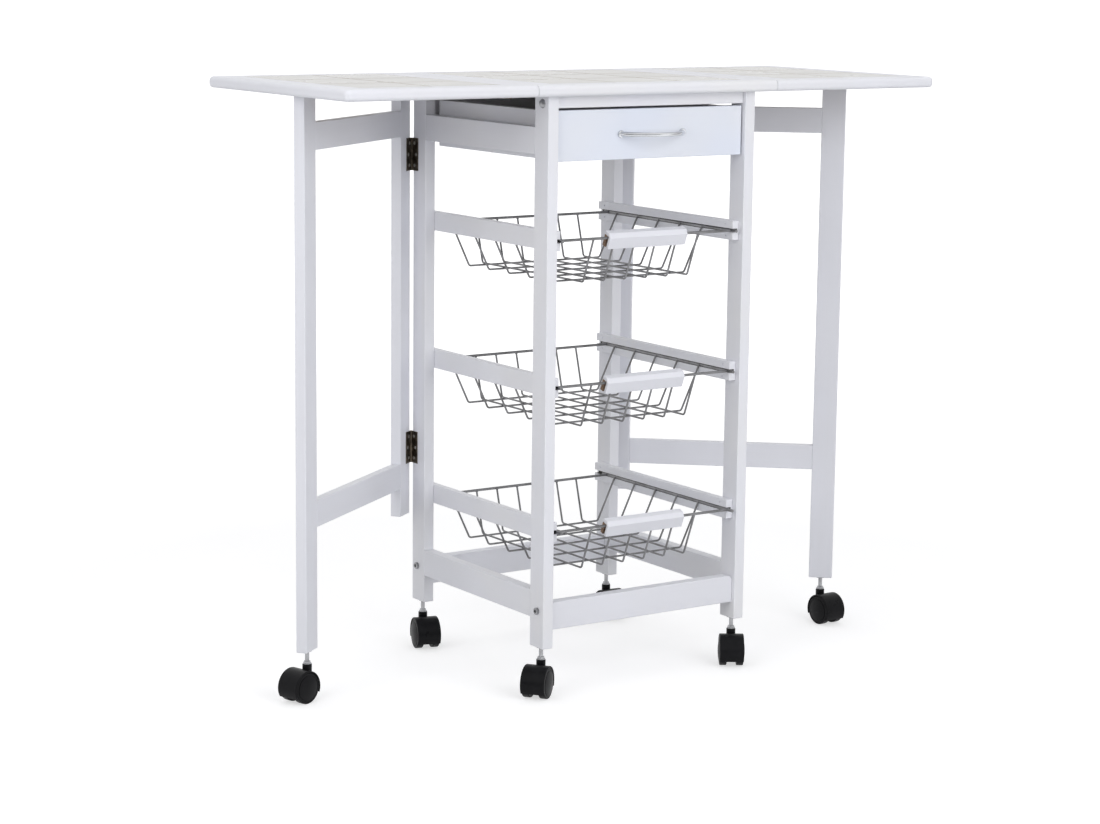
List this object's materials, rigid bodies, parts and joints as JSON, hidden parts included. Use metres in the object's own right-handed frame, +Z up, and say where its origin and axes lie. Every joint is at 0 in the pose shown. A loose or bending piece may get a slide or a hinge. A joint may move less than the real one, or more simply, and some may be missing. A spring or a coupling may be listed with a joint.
{
  "type": "kitchen cart",
  "caption": "Narrow wheeled kitchen cart with a tiled drop-leaf top on swing-out gate legs, a drawer with a bow handle and wire baskets on grooved runners.",
  "frame": {"origin": "on the floor at the centre of the cart's bounding box, with the leaves up and the gates open as in the picture", "axes": "+X along the long top towards the right leaf, +Y towards the back, +Z up; the drawer and the baskets open towards -Y"},
  "size_m": [0.9135, 0.37, 0.78],
  "materials": {
    "white_wood": "satin white paint on wood",
    "glazed_tile": "glazed ceramic, off-white",
    "grip_wood": "satin white paint, raw end grain",
    "steel_wire": "plated steel wire",
    "handle_chrome": "polished",
    "bronze_hinge": "dark antique bronze plating with bright screws",
    "bolt_steel": "zinc-plated",
    "stem_steel": "bright steel",
    "caster_plastic": "satin black",
    "wheel_plastic": "satin black"
  },
  "bodies": {
    "frame": {"leg_front_left": "white_wood", "leg_front_right": "white_wood", "leg_rear_left": "white_wood", "leg_rear_right": "white_wood", "upper_rail_left": "white_wood", "bottom_rail_left": "white_wood", "basket_runners_left": "white_wood", "upper_rail_right": "white_wood", "bottom_rail_right": "white_wood", "basket_runners_right": "white_wood", "apron_front": "white_wood", "apron_rear": "white_wood", "bottom_rail_front": "white_wood", "bottom_rail_rear": "white_wood", "drawer_runners": "white_wood", "frame_bolts": "bolt_steel", "top_frame": "white_wood", "top_tiles": "glazed_tile", "leaf_hinge_fixed_plates": "bronze_hinge", "gate_hinge_fixed_plates": "bronze_hinge", "frame_caster_stems": "stem_steel"},
    "leaf_left": {"leaf_left_frame": "white_wood", "leaf_left_tiles": "glazed_tile", "leaf_left_hinge_plates": "bronze_hinge"},
    "gate_left": {"gate_left_outer_leg": "white_wood", "gate_left_inner_post": "white_wood", "gate_left_rails": "white_wood", "gate_left_hinge_plates": "bronze_hinge", "gate_left_caster_stem": "stem_steel"},
    "leaf_right": {"leaf_right_frame": "white_wood", "leaf_right_tiles": "glazed_tile", "leaf_right_hinge_plates": "bronze_hinge"},
    "gate_right": {"gate_right_outer_leg": "white_wood", "gate_right_inner_post": "white_wood", "gate_right_rails": "white_wood", "gate_right_hinge_plates": "bronze_hinge", "gate_right_caster_stem": "stem_steel"},
    "drawer": {"drawer_front": "white_wood", "drawer_sides": "white_wood", "drawer_back": "white_wood", "drawer_bottom": "white_wood", "drawer_handle": "handle_chrome"},
    "basket_top": {"basket_top_wires": "steel_wire", "basket_top_grip": "grip_wood"},
    "basket_middle": {"basket_middle_wires": "steel_wire", "basket_middle_grip": "grip_wood"},
    "basket_bottom": {"basket_bottom_wires": "steel_wire", "basket_bottom_grip": "grip_wood"},
    "caster_front_left_swivel": {"caster_front_left_hood": "caster_plastic"},
    "caster_front_left_wheelset": {"caster_front_left_wheels": "wheel_plastic"},
    "caster_front_right_swivel": {"caster_front_right_hood": "caster_plastic"},
    "caster_front_right_wheelset": {"caster_front_right_wheels": "wheel_plastic"},
    "caster_rear_left_swivel": {"caster_rear_left_hood": "caster_plastic"},
    "caster_rear_left_wheelset": {"caster_rear_left_wheels": "wheel_plastic"},
    "caster_rear_right_swivel": {"caster_rear_right_hood": "caster_plastic"},
    "caster_rear_right_wheelset": {"caster_rear_right_wheels": "wheel_plastic"},
    "caster_gate_left_swivel": {"caster_gate_left_hood": "caster_plastic"},
    "caster_gate_left_wheelset": {"caster_gate_left_wheels": "wheel_plastic"},
    "caster_gate_right_swivel": {"caster_gate_right_hood": "caster_plastic"},
    "caster_gate_right_wheelset": {"caster_gate_right_wheels": "wheel_plastic"}
  },
  "joints": [
    {"name": "leaf_left_hinge", "type": "hinge", "parent": "frame", "child": "leaf_left", "pos_m": [-0.1855, 0.006, 0.7626], "axis": [0, 1, 0], "range_deg": [0, 2]},
    {"name": "leaf_right_hinge", "type": "hinge", "parent": "frame", "child": "leaf_right", "pos_m": [0.1855, 0.006, 0.7626], "axis": [0, -1, 0], "range_deg": [0, 2]},
    {"name": "gate_left_hinge", "type": "hinge", "parent": "frame", "child": "gate_left", "pos_m": [-0.1622, 0.1686, 0.4], "axis": [0, 0, 1], "range_deg": [-35.7, 46.3]},
    {"name": "gate_right_hinge", "type": "hinge", "parent": "frame", "child": "gate_right", "pos_m": [0.1622, 0.1686, 0.4], "axis": [0, 0, -1], "range_deg": [-41.3, 40.7]},
    {"name": "drawer_slide", "type": "slide", "parent": "frame", "child": "drawer", "axis": [0, -1, 0], "range_m": [0, 0.2]},
    {"name": "basket_top_slide", "type": "slide", "parent": "frame", "child": "basket_top", "axis": [0, -1, 0], "range_m": [0, 0.21]},
    {"name": "basket_middle_slide", "type": "slide", "parent": "frame", "child": "basket_middle", "axis": [0, -1, 0], "range_m": [0, 0.21]},
    {"name": "basket_bottom_slide", "type": "slide", "parent": "frame", "child": "basket_bottom", "axis": [0, -1, 0], "range_m": [0, 0.21]},
    {"name": "caster_front_left_swivel", "type": "hinge", "parent": "frame", "child": "caster_front_left_swivel", "pos_m": [-0.1533, -0.14215, 0.047], "axis": [0, 0, 1], "continuous": true},
    {"name": "caster_front_left_roll", "type": "hinge", "parent": "caster_front_left_swivel", "child": "caster_front_left_wheelset", "pos_m": [-0.1647, -0.15112, 0.02], "axis": [0.6184, -0.7859, 0], "continuous": true},
    {"name": "caster_front_right_swivel", "type": "hinge", "parent": "frame", "child": "caster_front_right_swivel", "pos_m": [0.1533, -0.14215, 0.047], "axis": [0, 0, 1], "continuous": true},
    {"name": "caster_front_right_roll", "type": "hinge", "parent": "caster_front_right_swivel", "child": "caster_front_right_wheelset", "pos_m": [0.14523, -0.1542, 0.02], "axis": [0.831, -0.5563, 0], "continuous": true},
    {"name": "caster_rear_left_swivel", "type": "hinge", "parent": "frame", "child": "caster_rear_left_swivel", "pos_m": [-0.1533, 0.15105, 0.047], "axis": [0, 0, 1], "continuous": true},
    {"name": "caster_rear_left_roll", "type": "hinge", "parent": "caster_rear_left_swivel", "child": "caster_rear_left_wheelset", "pos_m": [-0.15725, 0.1371, 0.02], "axis": [0.9622, -0.2723, 0], "continuous": true},
    {"name": "caster_rear_right_swivel", "type": "hinge", "parent": "frame", "child": "caster_rear_right_swivel", "pos_m": [0.1533, 0.15105, 0.047], "axis": [0, 0, 1], "continuous": true},
    {"name": "caster_rear_right_roll", "type": "hinge", "parent": "caster_rear_right_swivel", "child": "caster_rear_right_wheelset", "pos_m": [0.15204, 0.13661, 0.02], "axis": [0.9962, -0.0872, 0], "continuous": true},
    {"name": "caster_gate_left_swivel", "type": "hinge", "parent": "gate_left", "child": "caster_gate_left_swivel", "pos_m": [-0.41867, -0.00529, 0.047], "axis": [0, 0, 1], "continuous": true},
    {"name": "caster_gate_left_roll", "type": "hinge", "parent": "caster_gate_left_swivel", "child": "caster_gate_left_wheelset", "pos_m": [-0.43252, -0.0096, 0.02], "axis": [0.2974, -0.9548, 0], "continuous": true},
    {"name": "caster_gate_right_swivel", "type": "hinge", "parent": "gate_right", "child": "caster_gate_right_swivel", "pos_m": [0.40048, -0.02949, 0.047], "axis": [0, 0, 1], "continuous": true},
    {"name": "caster_gate_right_roll", "type": "hinge", "parent": "caster_gate_right_swivel", "child": "caster_gate_right_wheelset", "pos_m": [0.40048, -0.04399, 0.02], "axis": [1, 0, 0], "continuous": true}
  ]
}
